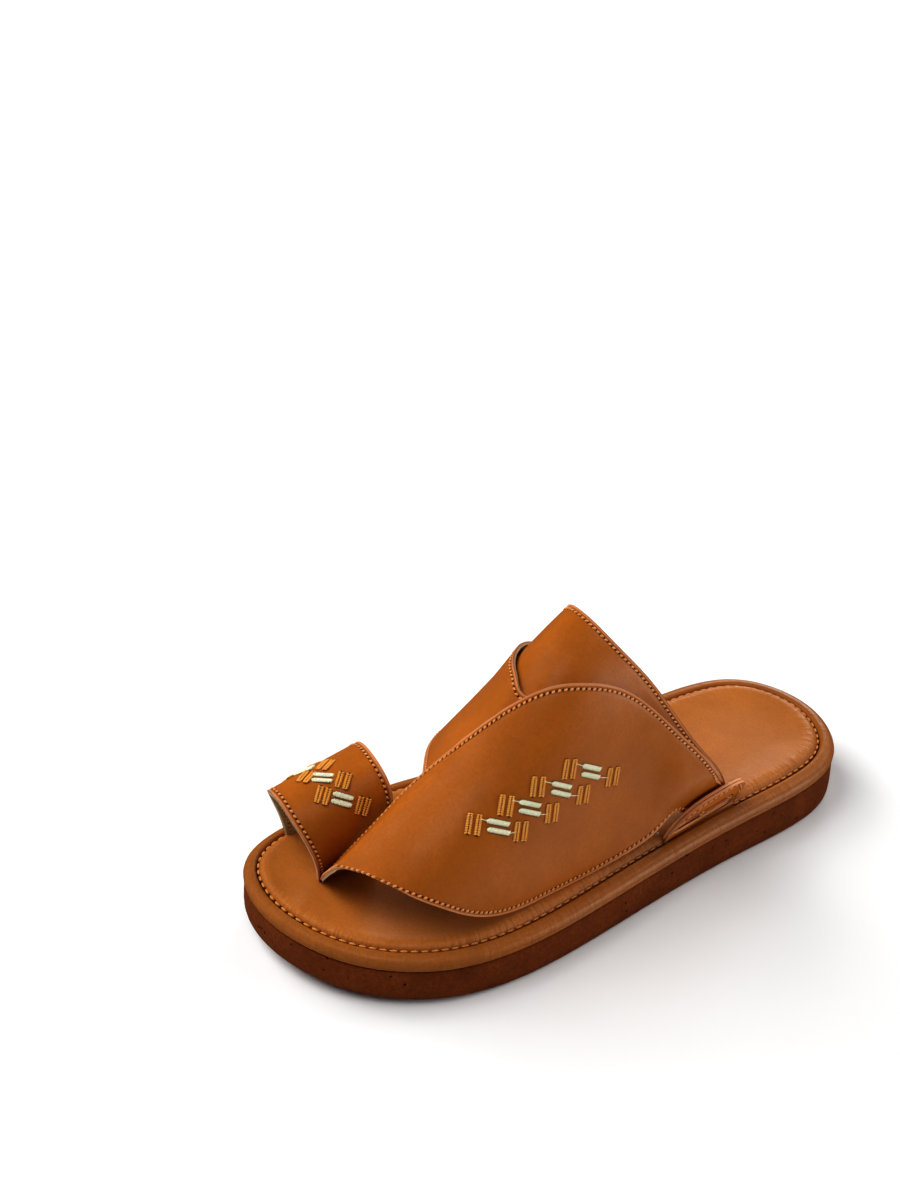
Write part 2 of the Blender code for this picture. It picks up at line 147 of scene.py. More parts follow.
# Layers, outwards from the arch: inner face, outer face. Each is a leather with a lining under it.
STRAP_LAYER = (-2.8, -1.2)
WING_LAYER = (-1.15, 0.4)
LEAF_LAYER = (0.45, 2)
LINING_SHARE = 0.4
LINING_GAP = 0.04
ROUND_SCALE = 120
EAR_THINNING = 0.28
STRAP_CROWDING = 0.82
LEAF_CROWDING = 1.7
# The wing's front stands off the foot: how far, where round the foot it fades in and out, how deep.
WING_LIFT = 1.5
WING_SIDES = ((0.43, 0.5), (0.6, 0.78))
WING_DEPTH = (0, 0.4)

# Near the ears the straps leave the arch to run down inside the ear and out through its slot.
#       z, outwards from the base line of the lateral ear, the same for the medial ear
TUCK = (
    (28, 5, 8.7), (30, 2.45, 6.7), (31, 1.2, 5.7), (32, 0.05, 4.7), (33, -0.8, 3.7),
    (34, -1.05, 2.75), (35, -0.8, 1.9), (36, -0.65, 1.15), (37, -0.6, 0.6), (40, -0.4, 0),
    (44, 0.7, -0.2), (50, 3.3, -0.5), (58, 6.8, -0.9), (80, 11, -3.5),
)
TUCK_FADE_Y = (12, 30)
TUCK_FADE_Z = (44, 80)

# Big-toe loop, from its medial foot over the toe to the toe post: front edge, then rear edge.
#       x, y, z, x, y, z
TOE_LOOP = (
    (-43, -115, 22.5, -46.5, -84, 22.5),
    (-42.8, -118, 38, -47, -83, 42),
    (-41, -123.5, 54, -44.5, -82.5, 60),
    (-34.5, -127, 62.8, -37, -82.8, 69),
    (-25.5, -127.6, 65, -26.5, -83.8, 72),
    (-15.6, -126.5, 60.8, -17.3, -84.2, 71),
    (-9.6, -124.2, 54, -11.4, -83.6, 66),
    (-6.8, -121.5, 45, -8.6, -84, 52),
    (-9.4, -118.6, 34, -9.6, -86, 38),
    (-14.5, -115.8, 22.5, -12.5, -88, 22.5),
)
LOOP_LAYER = (-0.95, 0.95)

# Ears: flaps that lean outwards, each with a long slot that the straps come out through.
#        name, x of the base, y of the middle, side, drift of x along y, lean,
#        half-length, height, rear fullness, rake to the rear, slot rise, slot margin
EARS = (
    ("ear_lateral", 35.8, 47.2, 1, -0.14, 15, 21.8, 17, 4.5, 0.2, 5.6, 3.2),
    ("ear_medial", -37.6, 44, -1, 0.02, 33, 23, 20, 2.6, 0.1, 7.6, 7),
)
EAR_STITCH = 1.45
EAR_WALL = 2.6
EAR_FRONT_FULLNESS = 2.5
EAR_ROOT = 2.9
EAR_ROUNDING = 0.44
# How far inside an ear's ends the footbed's seam stops, and how far the ear's own.
HIDDEN_SEAM = 2
EAR_TRIM = 4
EAR_BASE_Z = 25
EAR_GROOVE = 0.5
SLOT_HALF_HEIGHT = 3.3
EAR_STEPS = 144

# Sewing.
SEAM_DIP = 0.22
SEAM_REACH = 0.9
CUT_EDGE_ROUNDING = 0.22
FOOTBED_PITCH = 4.2
# Length, width, height.
FOOTBED_STITCH = (3.5, 1.15, 0.9)
# Length in pitches, height in widths.
STITCH_SHAPE = (0.8, 0.8)
STITCH_LIFT = 0.12
THREAD_LIFT = 0.05
# The distance from a seam that stands for no seam at all.
UNSEWN = 50
# Nearer than this, points are one.
TOUCHING = 0.01
# Steps for slopes: along a curve, and over or out of a surface.
SMALL_STEP = 0.01
SMALL_RISE = 0.5

# Embroidered pairs of bars on the leaf: in each row a light pair, with dark pairs above and below it.
#       light y, round, turn; upper dark y, round, turn; lower dark y, round, turn
LEAF_PAIRS = (
    (-60.2, 0.239, -54, -69.5, 0.293, -139, -51.7, 0.187, -135),
    (-46, 0.2136, -60, -55.2, 0.2675, -144, -36.8, 0.1626, -130),
    (-31.3, 0.188, -59, -41.2, 0.2373, -141, -21.2, 0.1453, -122),
    (-16.5, 0.173, -48, -26.6, 0.2089, -135, -6.1, 0.1425, -112),
)
# On the toe loop: parts of the way over the toe and from the front edge to the rear edge.
#       over, back, turn
LOOP_LIGHT_PAIRS = ((0.4, 0.4, 52), (0.503, 0.475, 50), (0.609, 0.522, 46))
LOOP_DARK_PAIRS = (
    (0.345, 0.5, 122), (0.36, 0.28, 120), (0.449, 0.578, 124), (0.459, 0.357, 124),
    (0.553, 0.623, 135), (0.565, 0.382, 134), (0.661, 0.678, 144),
)
# Bars: length, distance between a pair's two, how far one leads the other as a part of that.
LIGHT_BAR = (9.8, 3.4, -0.3)
DARK_BAR = (8.4, 3.8, 0)
LOOP_LIGHT_BAR = (8.2, 3, 0)
LOOP_DARK_BAR = (7.4, 3.4, 0)
BAR_WIDTH = 2.7
# Where the rounding starts before a bar's end, its reach, the least part of the width squared.
BAR_END = (0.9, 1.1, 0.1)
# Kinds of bar: start, pitch, hands, slant, share and spread of the bar's width, margin,
#     the strand's width and height, unevenness
SATIN = (0, 0.62, (1,), 0.3, 1, 0, 0, 0.8, 1.3, 0.06)
BRAID = (0.3, 0.95, (-1, 1), 0.6, 0.62, 0.42, 0, 0.95, 1.2, 0)
# The last kind is a dark flat line under each bar: painted shadow round the bar, with its needle holes.
NEEDLE_SHADOW = (0.1, 0.9, (1,), 0, 1, 0, 0.7, 1.3, 0.3, 0)

# Lights round the sandal, and the camera.
#     name, azimuth from the little-toe side towards the heel, elevation, power, side in metres, mirrored
SOFTBOXES = (
    ("toe_softbox", 242, 55, 27, 1.6, False),
    ("back_softbox", 205, 31, 20, 1.4, False),
    ("top_softbox", 328, 60, 6.5, 1, True),
    ("far_softbox", 130, 17, 8.5, 0.9, True),
    ("low_softbox", 44, 10, 13, 0.9, True),
    ("heel_softbox", 82, 40, 8, 1, True),
)
# Paper: centre, half of its side.
FLOOR = ((0, 0, 0), 6)
SHEEN_CARD = ((0.2, 0.12, 0.0006), 0.14)
ROOM_LIGHT = 0.05
SOFTBOX_DISTANCE = 2.2
SOFTBOX_TARGET = (0, 0, 0.04)
CAMERA_AZIMUTH = 57.19
CAMERA_ELEVATION = 34.42
CAMERA_ROLL = 1.88
CAMERA_PLACE = (0.46594, -0.3642, 0.53818)
CAMERA_LENS = 52.55


# Curves and surfaces of the last.


def second_derivatives(x, values):
    """Second derivatives of the natural cubic spline at its knots."""
    h = np.diff(x)
    system = np.diag([1, *2 * (h[:-1] + h[1:]), 1]) + np.diag([*h[:-1], 0], -1) + np.diag([0, *h[1:]], 1)
    right = np.zeros_like(values)
    right[1:-1] = 6 * np.diff(np.diff(values, axis=0) / h[:, None], axis=0)
    return np.linalg.solve(system, right)


def spline(x, values, at):
    """The natural cubic spline through (x, values), read at each number in at."""
    x = np.asarray(x, float)
    values = np.asarray(values, float).reshape(len(x), -1)
    if x[0] > x[-1]:
        x, values = x[::-1], values[::-1]
    bend = second_derivatives(x, values)
    at = np.asarray(at, float)
    i = np.clip(np.searchsorted(x, at) - 1, 0, len(x) - 2)
    h = (x[i + 1] - x[i])[..., None]
    right = (at - x[i])[..., None] / h
    left = 1 - right
    curve = left * values[i] + right * values[i + 1]
    return curve + ((left**3 - left) * bend[i] + (right**3 - right) * bend[i + 1]) * h**2 / 6


def lengths(points, axis):
    """Running length of a grid's lines along an axis."""
    steps = np.linalg.norm(np.diff(points, axis=axis), axis=-1)
    return np.cumsum(np.concatenate([np.zeros_like(np.take(steps, [0], axis)), steps], axis=axis), axis=axis)


def by_length(points, fractions, scale=1.0):
    """The smooth curve through the points, read at fractions of its chord length."""
    points = np.asarray(points, float)
    length = lengths(points * scale, 0)
    return spline(length / length[-1], points, fractions)


def smooth_step(value, low, high):
    part = np.clip((value - low) / (high - low), 0, 1)
    return part * part * (3 - 2 * part)


def between(value, rise, fall):
    """1 between the two stretches, 0 outside them, smooth over each."""
    return smooth_step(value, *rise) * (1 - smooth_step(value, *fall))


def eased(steps):
    """Numbers from 0 to 1 that crowd towards both ends."""
    return 0.5 - 0.5 * np.cos(np.linspace(0, math.pi, steps))


def read_rows(at, places, rows):
    """The rows, one at each place, read at the numbers in at."""
    return np.stack([np.interp(at, places, column) for column in rows.T], -1)


def unit(vectors):
    return vectors / np.linalg.norm(vectors, axis=-1, keepdims=True)


def spring(y):
    """How far the sole is lifted off the ground at y."""
    reach = HALF_LENGTH + SPRING_START
    return TOE_SPRING * np.clip((SPRING_START - y) / reach, 0, None) ** 2


def outsole_level(y, height):
    return spring(y) + height + HEEL_WEDGE * y / HALF_LENGTH * height / OUTSOLE_THICK


def platform_level(y, height):
    return outsole_level(y, OUTSOLE_THICK) + GAP + height


def footbed_level(y, height):
    return platform_level(y, PLATFORM_THICK - RECESS_DEPTH + GAP + height)


def outline(inset, narrowing=0.0):
    """The closed sole outline, moved inwards. It starts at the toe tip and goes by the lateral side."""
    rows = np.array(PLAN)
    lateral, medial = rows[:, [2, 0]], rows[-2:0:-1, [1, 0]]
    knots = np.concatenate([medial[-3:], lateral, medial, lateral[:4]])
    steps = np.sqrt(np.linalg.norm(np.diff(knots, axis=0), axis=1))
    place = np.concatenate([[0], np.cumsum(steps)])
    first, heel, last = place[3], place[len(lateral) + 2], place[len(lateral) + len(medial) + 3]
    part = TIP_CROWDING * eased(SOLE_STEPS + 1) + (1 - TIP_CROWDING) * np.linspace(0, 1, SOLE_STEPS + 1)
    at = np.concatenate([first + (heel - first) * part, last - (last - heel) * part[-2::-1]])
    along = unit(spline(place, knots, at + SMALL_STEP) - spline(place, knots, at - SMALL_STEP))
    inwards = along[:, ::-1] * (-1, 1)
    edge = spline(place, knots, at)
    narrower = 1 - narrowing * smooth_step(-edge[:, 1:], 0, 100)
    return edge + inset * narrower * inwards


def spine_of(ring):
    """Where on the sole's middle line each point of a ring ends up."""
    middle = (ring + ring[::-1]) / 2
    order = np.argsort(middle[:, 1])
    y = SPINE_LENGTH * middle[:, 1]
    return np.column_stack([np.interp(y, middle[order, 1], middle[order, 0]), y])


def near_ear(y, z):
    """1 beside and below the top of an ear, 0 well away from it."""
    return smooth_step(y, *TUCK_FADE_Y) * (1 - smooth_step(z, *TUCK_FADE_Z))


def beside_ear(x, y):
    """Where an ear stands over the footbed's edge."""
    return np.any([(row[3] * x > 0) & (np.abs(y - row[2]) < row[6] - HIDDEN_SEAM) for row in EARS], axis=0)


def ear_line(row, y):
    """x of the ear's base line at y."""
    base_x, base_y, _, drift = row[1:5]
    return base_x + drift * (y - base_y)


def sharp_arch(y, t):
    """The arch before its crest is rounded."""
    rows = np.array(ARCH)
    lateral, medial, crest_x, crest_z, *fullness = np.moveaxis(spline(rows[:, 0], rows[:, 1:], y), -1, 0)
    on_lateral = t < 0.5
    power = 2 / np.where(on_lateral, *fullness)
    across = np.abs(np.cos(math.pi * t)) ** power
    up = np.abs(np.sin(math.pi * t)) ** power
    x = crest_x + (np.where(on_lateral, lateral, medial) - crest_x) * across
    z = ARCH_BASE + (crest_z - ARCH_BASE) * up
    tuck = np.array(TUCK)
    outwards = spline(tuck[:, 0], tuck[:, 1:], np.clip(z, tuck[0, 0], tuck[-1, 0]))
    tucked = [ear_line(row, y) + row[3] * outwards[..., i] for i, row in enumerate(EARS)]
    x = x + near_ear(y, z) * (np.where(on_lateral, *tucked) - x)
    return np.stack([x, y + 0 * x, z], axis=-1)


def arch(y, t):
    """The arch at y, a part t of the way over from the lateral side."""
    reach = CREST_ROUNDING * between(t, *CREST_SIDES)
    return (sharp_arch(y, t - reach) + sharp_arch(y, t) + sharp_arch(y, t + reach)) / 3


def arch_normals(y, t):
    small_t = SMALL_STEP / 5
    t = np.clip(t, 1.5 * small_t, 1 - 1.5 * small_t)
    round_it = arch(y, t + small_t) - arch(y, t - small_t)
    along_it = arch(y + SMALL_RISE, t) - arch(y - SMALL_RISE, t)
    return unit(np.cross(along_it, round_it))


def on_layer(y, t, distance):
    """Points at a distance outwards from the arch, less in an ear, where the layers are pressed."""
    points = arch(y, t)
    distance = distance * (1 - EAR_THINNING * near_ear(y, points[..., 2]))
    return points + distance[..., None] * arch_normals(y, t)


def leaf_spot(u, v):
    """(y, t) of the leaf, a patch stretched between its edges."""
    scale = (1.0, ROUND_SCALE)
    edges = by_length(LEAF, u, scale * 2)
    lower, upper = edges[..., :2], edges[..., 2:]
    end_lower, end_upper = np.array(LEAF[-1][:2]), np.array(LEAF[-1][2:])
    u, v = u[..., None], v[..., None]
    straight_front = (1 - v) * end_lower + v * end_upper
    patch = (1 - v) * lower + v * upper + u * (by_length(LEAF_FRONT, v[..., 0], scale) - straight_front)
    return patch[..., 0], patch[..., 1]


def leaf_surface(u, v, lift):
    return on_layer(*leaf_spot(u, v), lift)


def strap_surface(table):
    rows = np.array(table)

    def surface(u, v, lift):
        t = rows[0, 0] + (rows[-1, 0] - rows[0, 0]) * u
        edges = spline(rows[:, 0], rows[:, 1:], t)
        y = edges[..., 0] + (edges[..., 1] - edges[..., 0]) * v
        return on_layer(y, t + 0 * y, lift)

    return surface


def loop_surface(u, v, lift):
    table = np.array(TOE_LOOP)
    u, v = u + 0 * v, v + 0 * u

    def middle(part):
        front, rear = by_length(table[:, :3], part), by_length(table[:, 3:], part)
        return front + (rear - front) * v[..., None], rear - front

    here, across = middle(u)
    along = middle(u + SMALL_STEP)[0] - middle(u - SMALL_STEP)[0]
    return here + lift[..., None] * unit(np.cross(along, across))


class Sheet:
    """A leather stretched over the last. surface(u, v, lift) gives its points, seams its sewn sides."""

    def __init__(self, surface, u, v, seams):
        self.surface = surface
        self.u, self.v = u[:, None] + 0 * v, v + 0 * u[:, None]
        flat = surface(self.u, self.v, 0 * self.u)
        across, along = lengths(flat, 1), lengths(flat, 0)
        self.sides = {
            "low": (across, along[:, :1]),
            "high": (across[:, -1:] - across, along[:, -1:]),
            "end": (along[-1:] - along, across[-1:]),
        }
        self.edge = UNSEWN + 0 * self.u
        self.along = 0 * self.u
        for side in seams:
            distance, length = self.sides[side]
            nearer = distance < self.edge
            self.edge = np.where(nearer, distance, self.edge)
            self.along = np.where(nearer, length, self.along)

    def points(self, lift):
        return self.surface(self.u, self.v, lift + 0 * self.u)

    def seam(self, side, inset, pitch, trim):
        """(u, v) of the stitches along a side, trimmed at both ends."""
        distance, length = self.sides[side]
        u, v = self.u, self.v
        if side == "end":
            distance, length, u, v = distance.T, length.T, u.T, v.T
        if side != "low":
            distance, u, v = distance[:, ::-1], u[:, ::-1], v[:, ::-1]
        length = length[:, 0]
        first, last = math.ceil(trim[0] / pitch), math.floor((length[-1] - trim[1]) / pitch)
        rows = np.interp((np.arange(first, last) + 0.5) * pitch, length, np.arange(len(length)))
        below = np.minimum(rows.astype(int), len(length) - 2)
        part = (rows - below)[:, None]
        distance, u, v = ((1 - part) * grid[below] + part * grid[below + 1] for grid in (distance, u, v))
        return np.array([[np.interp(inset, d, line) for d, line in zip(distance, grid)] for grid in (u, v)])


# Meshes.


def add_grid(work, points, values):
    """A grid whose vertices are moved to the points, with its vertex values."""
    rows, columns = points.shape[:2]
    floats = work.verts.layers.float
    layers = [floats.get(name) or floats.new(name) for name, _ in values]
    made = bmesh.ops.create_grid(work, x_segments=columns - 1, y_segments=rows - 1, size=1.0)["verts"]
    for vertex, point in zip(made, points.reshape(-1, 3)):
        vertex.co = MM * Vector(point)
    for layer, (_, grid) in zip(layers, values):
        for vertex, value in zip(made, np.broadcast_to(grid, (rows, columns)).ravel()):
            vertex[layer] = value


def mesh_of(work, name):
    mesh = bpy.data.meshes.new(name)
    work.to_mesh(mesh)
    work.free()
    return mesh


def put(name, data):
    """A new object in the scene."""
    made = bpy.data.objects.new(name, data)
    bpy.context.scene.collection.objects.link(made)
    return made


def finish_piece(work, name, finishes, smooth_angle=50.0):
    """Turns the bmesh into a piece that rides on the sandal."""
    mesh = mesh_of(work, name)
    for finish in finishes:
        mesh.materials.append(FINISHES[finish])
    mesh.shade_smooth()
    mesh.set_sharp_from_angle(angle=math.radians(smooth_angle))
    piece = put(name, mesh)
    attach(piece, BODY)
    return piece


def face_outwards(work):
    bmesh.ops.recalc_face_normals(work, faces=work.faces)
    if work.calc_volume(signed=True) < 0:
        bmesh.ops.reverse_faces(work, faces=work.faces)


def bridge(work, edges, material):
    for face in bmesh.ops.bridge_loops(work, edges=edges)["faces"]:
        face.material_index = material


def walled(name, sheet, lifts, finishes, rounding=CUT_EDGE_ROUNDING, ring=False):
    """A closed leather between two lifts of a sheet. Finishes: the first face, the second, the cut edge."""
    work = bmesh.new()
    for lift in lifts:
        add_grid(work, sheet.points(lift), (("edge", sheet.edge), ("along", sheet.along)))
    work.faces.ensure_lookup_table()
    for face in work.faces[len(work.faces) // 2 :]:
        face.material_index = 1
    if ring:
        bmesh.ops.remove_doubles(work, verts=work.verts, dist=MM * TOUCHING)
    cut = [edge for edge in work.edges if edge.is_boundary]
    if ring:
        edge_value = work.verts.layers.float["edge"]
        for at_rim in (True, False):
            bridge(work, [e for e in cut if all((v[edge_value] < TOUCHING) == at_rim for v in e.verts)], 2)
    else:
        bridge(work, cut, 2)
    rounding = {"offset": MM * rounding, "offset_type": "OFFSET"}
    bmesh.ops.bevel(work, geom=cut, affect="EDGES", segments=2, profile=0.5, material=-1, **rounding)
    face_outwards(work)
    return finish_piece(work, name, finishes)


def make_bead():
    """One visible length of thread, a unit ball that add_thread() copies. Its faces point outwards."""
    work = bmesh.new()
    bmesh.ops.create_uvsphere(work, u_segments=7, v_segments=5, radius=1.0)
    mesh_of(work, "thread_bead")


def add_thread(work, middle, along, normal, length, width, height):
    """One visible length of thread: a low oval bead."""
    turn = Matrix(np.column_stack([along, np.cross(normal, along), normal]).tolist()).to_4x4()
    size = Matrix.Diagonal((MM * length / 2, MM * width / 2, MM * height / 2, 1))
    place = Matrix.Translation(MM * Vector(middle)) @ turn @ size
    first = len(work.verts)
    work.from_mesh(bpy.data.meshes["thread_bead"])
    work.verts.ensure_lookup_table()
    for vertex in work.verts[first:]:
        vertex.co = place @ vertex.co


def slanted(along, normal, degrees):
    turn = math.radians(degrees)
    return math.cos(turn) * along + math.sin(turn) * np.cross(normal, along)


def add_row(work, sheet, side, lift, trim, slant, longer=1.0):
    """A row of stitches along one side of a sheet."""
    settings = bpy.context.scene.sandal
    pitch, width = longer * settings.stitch_pitch / MM, settings.thread_width / MM
    u, v = sheet.seam(side, settings.stitch_inset / MM, pitch, trim)
    middle = sheet.surface(u, v, lift + 0 * u)
    normals = unit(sheet.surface(u, v, lift + SMALL_RISE + 0 * u) - middle)
    alongs = unit(np.gradient(middle, axis=0))
    long, high = STITCH_SHAPE
    for point, along, normal in zip(middle, alongs, normals):
        direction = unit(slanted(along, normal, slant))
        add_thread(work, point, direction, normal, long * pitch, width, high * width)


# Finishes.


def arithmetic(operation):
    """An operator of values, and its reflected form."""
    return (
        lambda self, other: self.finish.math(operation, self, other),
        lambda self, other: self.finish.math(operation, other, self),
    )


class Value:
    """A number that varies over a surface. Arithmetic on it adds Math nodes."""

    __add__, __radd__ = arithmetic("ADD")
    __sub__, __rsub__ = arithmetic("SUBTRACT")
    __mul__, __rmul__ = arithmetic("MULTIPLY")
    __truediv__, __rtruediv__ = arithmetic("DIVIDE")

    def __init__(self, finish, socket):
        self.finish, self.socket = finish, socket

    def __abs__(self):
        return self.finish.math("ABSOLUTE", self)

    def step(self, low, high):
        """0 below low, 1 above high, smooth between. With low above high it falls."""
        settings = {"interpolation_type": "SMOOTHSTEP"}
        backwards = low > high
        inputs = {"Value": self, "From Min": min(low, high), "From Max": max(low, high)}
        inputs |= {"To Min": float(backwards), "To Max": float(not backwards)}
        return self.finish.node("ShaderNodeMapRange", settings, inputs, "Result")


class Finish:
    """A procedural material, built up one node at a time."""

    def __init__(self, name, roughness, coat=0.0, sheen=0.0, ior=1.45):
        self.material = bpy.data.materials.new(name)
        self.material.use_nodes = True
        self.tree = self.material.node_tree
        self.shader = self.tree.nodes["Principled BSDF"]
        settings = {"Roughness": roughness, "Coat Weight": coat, "Coat Roughness": 0.25}
        for socket, value in (settings | {"Sheen Weight": sheen, "IOR": ior}).items():
            self.shader.inputs[socket].default_value = value

    def node(self, kind, settings, inputs, output=0):
        """A node of any kind: its settings are set first, then its sockets' values or links."""
        made = self.tree.nodes.new(kind)
        for name, value in settings.items():
            setattr(made, name, value)
        for name, value in inputs.items():
            found = [s for s in made.inputs if s.identifier == name] or [made.inputs[name]]
            if isinstance(value, Value):
                self.tree.links.new(value.socket, found[0])
            else:
                found[0].default_value = value
        return Value(self, made.outputs[output])

    def math(self, operation, *values):
        inputs = dict(zip(("Value", "Value_001"), values))
        return self.node("ShaderNodeMath", {"operation": operation}, inputs)

    def place(self):
        return self.node("ShaderNodeTexCoord", {}, {}, "Object")

    def attribute(self, name):
        return self.node("ShaderNodeAttribute", {"attribute_name": name}, {}, "Fac")

    def noise(self, scale, detail, roughness=0.5, stretch=(1, 1, 1), distortion=0.0, where=None):
        """Noise with this many features to a metre, from 0 to 1."""
        if where is None:
            where = self.node("ShaderNodeMapping", {}, {"Vector": self.place(), "Scale": stretch})
        inputs = {"Vector": where, "Scale": scale, "Detail": detail, "Roughness": roughness}
        return self.node("ShaderNodeTexNoise", {}, inputs | {"Distortion": distortion}, "Fac")

    def cells(self, scale):
        return self.node("ShaderNodeTexVoronoi", {}, {"Vector": self.place(), "Scale": scale}, "Distance")

    def mix(self, factor, first, second):
        """The two colours mixed. The node's output 2 is its colour."""
        inputs = {"Factor_Float": factor, "A_Color": first, "B_Color": second}
        return self.node("ShaderNodeMix", {"data_type": "RGBA"}, inputs, 2)

    def bump(self, height, distance):
        """Raises the surface by height times distance, in millimetres."""
        bumped = self.node("ShaderNodeBump", {}, {"Height": height, "Distance": MM * distance})
        self.tree.links.new(bumped.socket, self.shader.inputs["Normal"])

    def give(self, colour, roughness=None):
        """Links what varies to the shader, and returns the material."""
        for name, value in (("Base Color", colour), ("Roughness", roughness)):
            if value is not None:
                self.tree.links.new(value.socket, self.shader.inputs[name])
        return self.material


def tint(colour, factor):
    return (*(min(1.0, part * factor) for part in colour[:3]), 1.0)


def needle_holes(finish, pitch, inset):
    """1 in the small holes between the stitches of a seam."""
    across = abs(finish.attribute("edge") - inset).step(0.55, 0.2)
    phase = finish.attribute("along") / pitch
    gaps = abs(finish.math("FRACT", phase) - 0.5).step(0.3, 0.44)
    return across * gaps


# The polished rim outside a strap's seam, made lighter as a painted highlight along the edge.
BURNISH_HIGHLIGHT = (0.72, 0.34, 0.19, 1.0)


def leather(name, colour, roughness, pitch=0.0, inset=0.0, grain=1.0, pucker=0.0, burnish_highlight=0.0):
    """Smooth waxed leather: cloudy colour, fine pores, and a pressed line where it is sewn."""
    finish = Finish(name, roughness, coat=0.06, ior=1.35)
    edge = finish.attribute("edge")
    cloud = finish.noise(22, 4, 0.6, distortion=0.4)
    fleck = finish.noise(210, 5, 0.65)
    fine = finish.noise(800, 4, 0.7)
    base = finish.mix(cloud.step(0.25, 0.78), tint(colour, 0.86), tint(colour, 1.12))
    base = finish.mix((fleck - 0.35) * 0.4, base, tint(colour, 0.62))
    base = finish.mix(fine.step(0.35, 0.7) * 0.3, base, tint(colour, 0.6))
    pores = finish.cells(1500).step(0, 0.5)
    creases = finish.noise(75, 6, 0.62, stretch=(1, 0.35, 1), distortion=0.6)
    height = pores * (0.05 * grain) + fleck * 0.1 + creases * 0.22 + fine * (0.07 * grain)
    if pitch:
        pressed = abs(edge - inset).step(1.3, 0.1)
        holes = needle_holes(finish, pitch, inset)
        base = finish.mix(pressed * 0.5, base, tint(colour, 0.42))
        base = finish.mix(holes * 0.85, base, tint(colour, 0.12))
        # Burnished rim beside the edge, made lighter as a painted highlight.
        if burnish_highlight:
            base = finish.mix(edge.step(1.05, 0.75) * burnish_highlight, base, BURNISH_HIGHLIGHT)
        height = height - holes * 1.2
    if pucker:
        # Uneven folds that run out from a seam.
        where = finish.node("ShaderNodeCombineXYZ", {}, {"X": finish.attribute("along"), "Y": edge * 0.15})
        height = height + finish.noise(0.33, 4, 0.6, where=where) * edge.step(9, 0.5) * pucker
    finish.bump(height, 0.6)
    return finish.give(base, fleck * 0.18 + (roughness - 0.09))


def cut_edge(name, colour):
    """The raw, slightly furry edge of a leather."""
    finish = Finish(name, 0.75)
    fibres = finish.noise(900, 4, 0.7)
    finish.bump(fibres, 0.15)
    return finish.give(finish.mix(fibres, tint(colour, 0.72), tint(colour, 1.1)))


def lining_leather(name, colour, pitch, inset):
    """Pale lining with a soft nap and small needle holes."""
    finish = Finish(name, 0.62, sheen=0.15)
    cloud = finish.noise(40, 4, 0.6)
    nap = finish.noise(1300, 3, 0.6)
    base = finish.mix(cloud, tint(colour, 0.82), tint(colour, 1.08))
    holes = needle_holes(finish, pitch, inset)
    base = finish.mix(holes, base, tint(colour, 0.08))
    finish.bump(nap * 0.15 - holes * 0.8, 0.5)
    return finish.give(base)


def thread_finish(name, colour):
    """Twisted thread with a slight shine."""
    finish = Finish(name, 0.5)
    strands = finish.noise(2600, 2)
    finish.bump(strands, 0.12)
    return finish.give(finish.mix(strands.step(0.3, 0.7), tint(colour, 0.7), tint(colour, 1.12)))


def foam(name, colour):
    """Cut crepe foam: matt, mottled and pitted, with dark specks."""
    finish = Finish(name, 0.82, ior=1.2)
    cloud = finish.noise(45, 5, 0.65)
    pits = finish.cells(420)
    fine = finish.noise(700, 4, 0.7)
    specks = finish.cells(260).step(0.2, 0.1) * finish.noise(160, 2, 0.5).step(0.5, 0.58)
    base = finish.mix(cloud.step(0.25, 0.75), tint(colour, 0.75), tint(colour, 1.25))
    base = finish.mix(fine.step(0.35, 0.7) * 0.6, base, tint(colour, 0.55))
    base = finish.mix(specks, base, tint(colour, 0.1))
    finish.bump(fine * 0.5 + pits * 0.5 - specks * 1.5, 0.35)
    return finish.give(base, fine * 0.2 + 0.7)


FINISHES = {}


def make_finishes(looks):
    """All the sandal's materials, from the settings."""
    pitch, inset = looks.stitch_pitch / MM, looks.stitch_inset / MM
    ear_colour = tint(looks.leather_colour, 1.15)
    FINISHES.update(
        upper=leather("upper_leather", looks.leather_colour, 0.4, pitch, inset, burnish_highlight=0.5),
        ear=leather("ear_leather", ear_colour, 0.5, EAR_STITCH * pitch, inset, 2.0, burnish_highlight=0.35),
        ear_edge=cut_edge("ear_cut_edge", tint(looks.cut_colour, 1.45)),
        rand=leather("rand_leather", looks.rand_colour, 0.33, grain=1.5, pucker=1.2),
        footbed=leather("footbed_leather", looks.footbed_colour, 0.35, FOOTBED_PITCH, pucker=2.4),
        lining=lining_leather("lining_leather", looks.lining_colour, pitch, inset),
        cut=cut_edge("cut_edge", looks.cut_colour),
        thread=thread_finish("seam_thread", looks.thread_colour),
        light_silk=thread_finish("light_embroidery_silk", looks.light_silk_colour),
        dark_silk=thread_finish("dark_embroidery_silk", looks.dark_silk_colour),
        # Dark thread for the painted shadow line under the embroidered bars.
        needle=thread_finish("needle_shadow_line", tint(looks.leather_colour, 0.3)),
        footbed_thread=thread_finish("footbed_thread", looks.footbed_thread_colour),
        foam=foam("sole_foam", looks.foam_colour),
    )


# Pieces.


